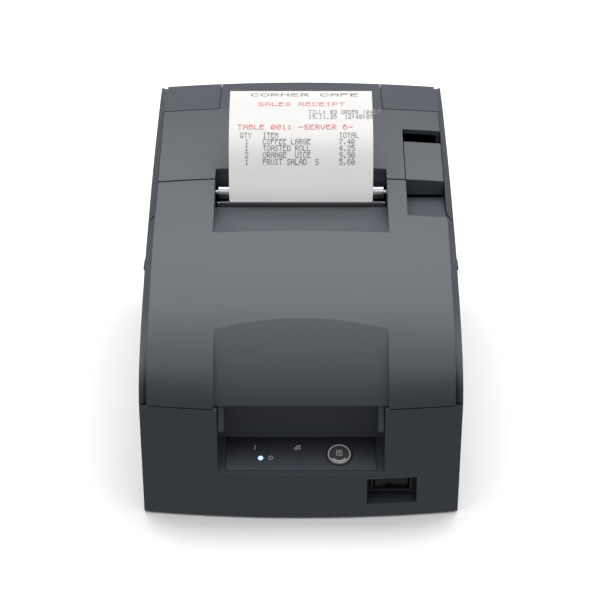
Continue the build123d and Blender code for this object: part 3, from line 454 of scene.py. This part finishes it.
# ---- driving values ---------------------------------------------------------
class PrinterSizes(PropertyGroup):
    """Sizes the pieces are made from."""

    panel_tilt: FloatProperty(
        name="Panel tilt", description="Angle of the control panel's face above the level, in degrees",
        default=23.0)
    panel_depth: FloatProperty(
        name="Panel depth", description="Size of the control panel up its slope",
        default=0.020, unit="LENGTH")
    ring_radius: FloatProperty(
        name="Button ring radius", description="Outer radius of the ring printed on the feed button",
        default=0.0057, unit="LENGTH")
    letter_height: FloatProperty(
        name="Letter height", description="Height of a dot matrix character on the receipt",
        default=0.0031, unit="LENGTH")
    receipt_margin: FloatProperty(
        name="Receipt margin", description="Blank strip at either side of the print",
        default=0.0045, unit="LENGTH")
    camera_lens: FloatProperty(
        name="Camera lens", description="Focal length of the camera, in millimetres", default=132.1)
    camera_rise: FloatProperty(
        name="Camera elevation", description="Angle of the camera above the horizon, in degrees",
        default=28.5)
    camera_distance: FloatProperty(
        name="Camera distance", description="From the camera to the point it turns about",
        default=1.2209, unit="LENGTH")


class PrinterColours(PropertyGroup):
    """Main colours, in linear light."""

    case: FloatVectorProperty(
        name="Case", description="Dark grey-blue moulded case", subtype="COLOR", size=3,
        default=(0.037, 0.044, 0.055))
    panel: FloatVectorProperty(
        name="Black parts", description="Black moulded parts", subtype="COLOR", size=3,
        default=(0.026, 0.029, 0.034))
    paper: FloatVectorProperty(
        name="Paper", description="Receipt paper", subtype="COLOR", size=3,
        default=(0.80, 0.79, 0.78))
    black_ink: FloatVectorProperty(
        name="Black ink", description="Black ribbon ink", subtype="COLOR", size=3,
        default=(0.035, 0.035, 0.045))
    red_ink: FloatVectorProperty(
        name="Red ink", description="Red ribbon ink", subtype="COLOR", size=3,
        default=(0.55, 0.03, 0.03))
    backdrop: FloatVectorProperty(
        name="Backdrop", description="Pale floor and surroundings", subtype="COLOR", size=3,
        default=(0.90, 0.90, 0.90))


# ---- receipt print ----------------------------------------------------------
FONT = {
    "A": "01110 10001 10001 11111 10001 10001 10001", "B": "11110 10001 11110 10001 10001 10001 11110",
    "C": "01110 10001 10000 10000 10000 10001 01110", "D": "11110 10001 10001 10001 10001 10001 11110",
    "E": "11111 10000 11110 10000 10000 10000 11111", "F": "11111 10000 11110 10000 10000 10000 10000",
    "G": "01110 10001 10000 10111 10001 10001 01111", "H": "10001 10001 11111 10001 10001 10001 10001",
    "I": "01110 00100 00100 00100 00100 00100 01110", "K": "10001 10010 11100 10010 10010 10001 10001",
    "L": "10000 10000 10000 10000 10000 10000 11111", "M": "10001 11011 10101 10101 10001 10001 10001",
    "N": "10001 11001 10101 10011 10001 10001 10001", "O": "01110 10001 10001 10001 10001 10001 01110",
    "P": "11110 10001 10001 11110 10000 10000 10000", "Q": "01110 10001 10001 10001 10101 10010 01101",
    "R": "11110 10001 10001 11110 10100 10010 10001", "S": "01111 10000 10000 01110 00001 00001 11110",
    "T": "11111 00100 00100 00100 00100 00100 00100", "U": "10001 10001 10001 10001 10001 10001 01110",
    "V": "10001 10001 10001 10001 01010 01010 00100", "W": "10001 10001 10001 10101 10101 11011 10001",
    "X": "10001 01010 00100 00100 00100 01010 10001", "Y": "10001 10001 01010 00100 00100 00100 00100",
    "0": "01110 10001 10011 10101 11001 10001 01110", "1": "00100 01100 00100 00100 00100 00100 01110",
    "2": "01110 10001 00001 00110 01000 10000 11111", "3": "11110 00001 00001 01110 00001 00001 11110",
    "4": "00010 00110 01010 10010 11111 00010 00010", "5": "11111 10000 11110 00001 00001 10001 01110",
    "6": "01110 10000 11110 10001 10001 10001 01110", "7": "11111 00001 00010 00100 01000 01000 01000",
    "8": "01110 10001 10001 01110 10001 10001 01110", "9": "01110 10001 10001 01111 00001 00001 01110",
    ".": "00000 00000 00000 00000 00000 01100 01100", ":": "00000 01100 01100 00000 01100 01100 00000",
    "-": "00000 00000 00000 11111 00000 00000 00000", "*": "00000 10101 01110 11111 01110 10101 00000",
}


def receipt_path():
    """The receipt's front face, as points from the slot to its upper end, and its box."""
    mesh = frame["nodes"]["receipt"].data
    low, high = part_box("receipt")
    points = set()
    for face in mesh.polygons:
        if face.normal.z - face.normal.y > 0.4:
            for index in face.vertices:
                spot = mesh.vertices[index].co
                points.add((round(spot.y, 6), round(spot.z, 6)))
    path = sorted(points, key=lambda point: point[1] + 0.35 * point[0])
    return path, low, high


def row_at(path, distance):
    """The point and up-slope direction at a distance down from the receipt's upper end."""
    walked = 0.0
    downwards = path[::-1]
    for upper, lower in zip(downwards, downwards[1:]):
        step = math.hypot(upper[0] - lower[0], upper[1] - lower[1])
        if walked + step >= distance:
            share = (distance - walked) / step
            point = Vector((0, upper[0] + (lower[0] - upper[0]) * share,
                            upper[1] + (lower[1] - upper[1]) * share))
            return point, Vector((0, upper[0] - lower[0], upper[1] - lower[1])).normalized()
        walked += step
    return None, None


# Receipt rows: distance down the paper in millimetres, left edge 0..1, text, ink, size.
ROWS = (
    (3.0, 0.10, "CORNER CAFE", "black", 2.0),
    (12.0, 0.16, "SALES RECEIPT", "red", 1.35),
    (18.5, 0.56, "TILL: 03 ORDER 10427", "black", 0.72),
    (22.0, 0.56, "19.11.26  12:40:05", "black", 0.72),
    (29.0, 0.00, "TABLE 0011 -SERVER 6-", "red", 1.1),
    (34.0, 0.02, "QTY", "black", 0.8), (34.0, 0.20, "ITEM", "black", 0.8),
    (34.0, 0.80, "TOTAL", "black", 0.8),
    (37.6, 0.06, "1", "black", 0.8), (37.6, 0.20, "COFFEE LARGE", "black", 0.8),
    (37.6, 0.80, "7.40", "black", 0.8),
    (41.2, 0.06, "1", "black", 0.8), (41.2, 0.20, "TOASTED ROLL", "black", 0.8),
    (41.2, 0.80, "4.25", "black", 0.8),
    (44.8, 0.06, "2", "black", 0.8), (44.8, 0.20, "ORANGE JUICE", "black", 0.8),
    (44.8, 0.80, "9.90", "black", 0.8),
    (48.4, 0.06, "1", "black", 0.8), (48.4, 0.20, "FRUIT SALAD (S)", "black", 0.8),
    (48.4, 0.80, "5.60", "black", 0.8),
)


def draw_text(sculpt, path, left, width, row):
    """Lay the dots of one row of text on the paper, each a thin raised plate."""
    down, start, text, ink, stretch = row
    height = sizes().letter_height
    pitch = height / DOT_ROWS
    x = left + width * start
    point, up = row_at(path, down * MM + height / 2)
    if point is None:
        return
    normal = Vector((0, -up.z, up.y))
    for letter in text:
        for line, bits in enumerate(FONT.get(letter, "").split()):
            run = 0
            for column in range(DOT_COLUMNS + 1):
                lit = column < DOT_COLUMNS and bits[column] == "1"
                if lit:
                    run += 1
                    continue
                if run:
                    first = column - run
                    dot_x = x + (first + run / 2) * pitch * stretch
                    centre, slope = row_at(path, down * MM + (line + 0.5) * pitch)
                    if centre is not None:
                        lift = centre + normal * PRINT_LIFT / 2
                        axes = Matrix((
                            (run * pitch * stretch * DOT_FILL, 0, 0, dot_x),
                            (0, slope.y * pitch, -slope.z * PRINT_LIFT, lift.y),
                            (0, slope.z * pitch, slope.y * PRINT_LIFT, lift.z),
                            (0, 0, 0, 1)))
                        bmesh.ops.create_cube(sculpt, size=1.0, matrix=axes)
                    run = 0
        x += DOT_ADVANCE * pitch * stretch


# ---- operators --------------------------------------------------------------
class PRINTER_OT_finishes(Operator):
    """Give every CAD part its material"""

    bl_idname = "printer.finishes"
    bl_label = "Apply finishes"

    def execute(self, context):
        shade = colours()
        nodes = frame["nodes"]
        low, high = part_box("paper_roll")
        rings = ((low.y + high.y) / 2, (low.z + high.z) / 2)
        finishes = {
            "case_plastic": moulded("CasePlastic", shade.case, 0.46),
            "black_plastic": moulded("BlackPlastic", shade.panel, 0.34, soften=0.0003),
            "gloss_black": gloss("GlossBlack", (0.003, 0.003, 0.0035), 0.12),
            "button_plastic": moulded("ButtonPlastic", (0.05, 0.054, 0.062), 0.42, soften=0.0006),
            "led_lens": lamp_material("LampLens", (0.02, 0.12, 1.0), 1.6),
            "rubber": moulded("Rubber", (0.02, 0.02, 0.02), 0.8, 0.0001, 900.0),
            "sheet_steel": brushed("SheetSteel", (0.62, 0.63, 0.65), 0.38, 0),
            "bright_steel": brushed("BrightSteel", (0.42, 0.44, 0.47), 0.28, 0),
            "motor_steel": brushed("MotorSteel", (0.50, 0.50, 0.52), 0.45, 2),
            "head_aluminium": brushed("HeadAluminium", (0.70, 0.71, 0.72), 0.35, 1),
            "gear_plastic": moulded("GearPlastic", (0.74, 0.72, 0.66), 0.4, 0.00002),
            "circuit_board": board_material("CircuitBoard"),
            "component_plastic": moulded("ComponentPlastic", (0.02, 0.02, 0.022), 0.4),
            "ribbon_fabric": moulded("RibbonFabric", (0.015, 0.013, 0.02), 0.85, 0.0001, 2500.0),
            "paper": paper_material("ReceiptPaper", shade.paper),
            "cardboard": moulded("Cardboard", (0.42, 0.30, 0.19), 0.85, 0.0001, 800.0),
        }
        slots = {entry["node"]: entry["material_slot"] for entry in frame["record"]["subparts"]}
        for name, piece in nodes.items():
            piece.data.materials.clear()
            piece.data.materials.append(finishes[slots[name]])
        rolled = paper_material("RolledPaper", shade.paper, rings)
        nodes["paper_roll"].data.materials[0] = rolled
        nodes["receipt"].data.materials[0] = receipt_painted_light_material("PrintedPaperPaintedLight", shade.paper)
        nodes["control_panel"].data.materials[0] = panel_painted_shade_material("PanelPlasticPaintedShade")
        return {"FINISHED"}


class PRINTER_OT_receipt_print(Operator):
    """Print the generic receipt in black and red dots"""

    bl_idname = "printer.receipt_print"
    bl_label = "Print the receipt"

    def execute(self, context):
        path, low, high = receipt_path()
        left = low.x + sizes().receipt_margin
        width = high.x - low.x - 2 * sizes().receipt_margin
        for ink, colour in (("black", colours().black_ink), ("red", colours().red_ink)):
            def build(sculpt, ink=ink):
                for row in ROWS:
                    if row[3] == ink:
                        draw_text(sculpt, path, left, width, row)
            new_piece("print_" + ink, build, ink_material("Ink" + ink.title(), colour), "roll_cover")
        return {"FINISHED"}


def draw_ring(sculpt):
    """The feed button's ring, its inner crescent and its sheet-with-arrow sign."""
    outer = sizes().ring_radius / MM
    flat_ring(sculpt, (0, 0), outer - 0.55, outer)
    flat_ring(sculpt, (0, 0), outer - 1.9, outer - 0.95, turn=math.radians(100), start=math.radians(220))
    stroke_box(sculpt, (0, 0.7), (2.6, 3.0), 0.32)
    flat_bar(sculpt, (0, 0.55), (0.35, 1.5))
    for side in (-1, 1):
        flat_bar(sculpt, (side * 0.38, 1.15), (1.0, 0.32), side * math.radians(-45))


def draw_warning(sculpt):
    """An exclamation mark."""
    flat_bar(sculpt, (0, 0.45), (0.42, 1.7))
    flat_disc(sculpt, (0, -0.95), 0.3)


def draw_paper_sign(sculpt):
    """A sheet of paper leaving a roll."""
    stroke_box(sculpt, (0.45, 0.25), (1.7, 2.0), 0.26)
    flat_ring(sculpt, (-1.0, -0.5), 0.42, 0.75, steps=24)
    for line in (-0.2, 0.4, 0.95):
        flat_bar(sculpt, (0.5, line - 0.1), (0.95, 0.2))


def draw_power_sign(sculpt):
    """The standard power sign."""
    flat_ring(sculpt, (0, 0), 0.85, 1.15, turn=math.radians(300), start=math.radians(120))
    flat_bar(sculpt, (0, 0.75), (0.3, 1.25))


class PRINTER_OT_panel_signs(Operator):
    """Print the signs on the control panel and the feed button"""

    bl_idname = "printer.panel_signs"
    bl_label = "Print the panel signs"

    def execute(self, context):
        ink = white_print("PanelInk", 0.62)
        face = panel_matrix()
        tilt = math.radians(sizes().panel_tilt)
        low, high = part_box("feed_button")
        middle = (low + high) / 2
        out = Vector((0, -math.sin(tilt), math.cos(tilt)))
        top = max((vertex.co.dot(out) for vertex in frame["nodes"]["feed_button"].data.vertices))
        centre = middle + out * (top - middle.dot(out))
        spin = Matrix.Rotation(tilt, 4, "X")
        sign("button_sign", draw_ring, Matrix.Translation(centre) @ spin, ink, "feed_button")
        for name, draw, x, rise in (
            ("warning_sign", draw_warning, -23.2, 13.6),
            ("paper_sign", draw_paper_sign, -1.7, 13.4),
            ("power_sign", draw_power_sign, -15.2, 7.4),
        ):
            spot = face @ Matrix.Translation((x * MM, rise * MM, 0))
            sign(name, draw, spot, ink, "case")
        return {"FINISHED"}


class PRINTER_OT_stage(Operator):
    """Set the floor, the light and the camera"""

    bl_idname = "printer.stage"
    bl_label = "Set the stage"

    def execute(self, context):
        scene = context.scene
        low, high = (Vector(corner) for corner in cad_bounds)

        def sweep_mesh(sculpt):
            path = [(-FLOOR_REACH, 0.0), (SWEEP_START, 0.0)]
            for step in range(1, SWEEP_STEPS + 1):
                turn = math.radians(SWEEP_STEP_TURN * step)
                path.append((SWEEP_START + SWEEP_RADIUS * math.sin(turn),
                             SWEEP_RADIUS * (1 - math.cos(turn))))
            path.append((SWEEP_START + SWEEP_RADIUS, SWEEP_TOP))
            rows = []
            for y, z in path:
                rows.append([sculpt.verts.new((side * FLOOR_HALF_WIDTH, y, z)) for side in (-1, 1)])
            for first, second in zip(rows, rows[1:]):
                sculpt.faces.new((first[0], first[1], second[1], second[0]))
            bmesh.ops.recalc_face_normals(sculpt, faces=sculpt.faces)

        mesh = bpy.data.meshes.new("floor")
        sculpt = bmesh.new()
        sweep_mesh(sculpt)
        sculpt.to_mesh(mesh)
        sculpt.free()
        for face in mesh.polygons:
            face.use_smooth = True
        floor = bpy.data.objects.new("floor", mesh)
        scene.collection.objects.link(floor)

        def wires(tree):
            speck = noise(tree, 3.0, 2.0)
            tone = colours().backdrop
            return {"Base Color": mix_colour(tree, speck, rgba(tone, 0.99), rgba(tone, 1.01)),
                    "Roughness": speck * 0.05 + 0.75}
        floor.data.materials.append(finish_material("Floor", {"Specular IOR Level": 0.1}, wires))
        floor.visible_diffuse = False
        floor.visible_glossy = False

        centre = (low + high) / 2
        for name, offset, size, power in LIGHTS:
            data = bpy.data.lights.new(name, "AREA")
            data.shape = "RECTANGLE"
            data.size = size[0]
            data.size_y = size[1]
            data.energy = power
            lamp = bpy.data.objects.new(name, data)
            lamp.location = centre + Vector(offset)
            lamp.rotation_euler = (centre - lamp.location).to_track_quat("-Z", "Y").to_euler()
            scene.collection.objects.link(lamp)

        world = bpy.data.worlds.new("Studio")
        scene.world = world
        world.use_nodes = True
        background = world.node_tree.nodes["Background"]
        background.inputs["Color"].default_value = WHITE
        background.inputs["Strength"].default_value = SURROUND_STRENGTH
        scene.view_settings.view_transform = "Standard"

        view = bpy.data.cameras.new("Camera")
        camera = bpy.data.objects.new("Camera", view)
        rise = math.radians(sizes().camera_rise)
        pivot = Vector(CAMERA_PIVOT)
        back = Vector((0, -math.cos(rise), math.sin(rise)))
        camera.location = pivot + back * sizes().camera_distance
        camera.rotation_euler = (math.pi / 2 - rise, 0, 0)
        view.lens = sizes().camera_lens
        view.sensor_width = SENSOR_WIDTH
        view.shift_x = CAMERA_SHIFT
        view.dof.use_dof = False
        scene.collection.objects.link(camera)
        scene.camera = camera
        return {"FINISHED"}


class PRINTER_PT_panel(Panel):
    """Every step of the build, with its sizes and colours"""

    bl_label = "Receipt Printer"
    bl_idname = "PRINTER_PT_panel"
    bl_space_type = "VIEW_3D"
    bl_region_type = "UI"
    bl_category = "Printer"

    def draw(self, context):
        for group in (sizes(), colours()):
            for name in group.__annotations__:
                self.layout.prop(group, name)
        for operator in OPERATORS:
            self.layout.operator(operator.bl_idname)


OPERATORS = (
    PRINTER_OT_finishes,
    PRINTER_OT_receipt_print,
    PRINTER_OT_panel_signs,
    PRINTER_OT_stage,
)
CLASSES = (PrinterSizes, PrinterColours, *OPERATORS, PRINTER_PT_panel)


def register():
    """Add the classes and the scene's settings."""
    for kind in CLASSES:
        bpy.utils.register_class(kind)
    bpy.types.Scene.printer_sizes = bpy.props.PointerProperty(type=PrinterSizes)
    bpy.types.Scene.printer_colours = bpy.props.PointerProperty(type=PrinterColours)


def unregister():
    """Remove the scene's settings and the classes."""
    del bpy.types.Scene.printer_colours
    del bpy.types.Scene.printer_sizes
    for kind in reversed(CLASSES):
        bpy.utils.unregister_class(kind)


def main():
    """Build every piece and the stage."""
    register()
    bpy.ops.printer.finishes()
    bpy.ops.printer.receipt_print()
    bpy.ops.printer.panel_signs()
    bpy.ops.printer.stage()


if __name__ == "__main__":
    main()
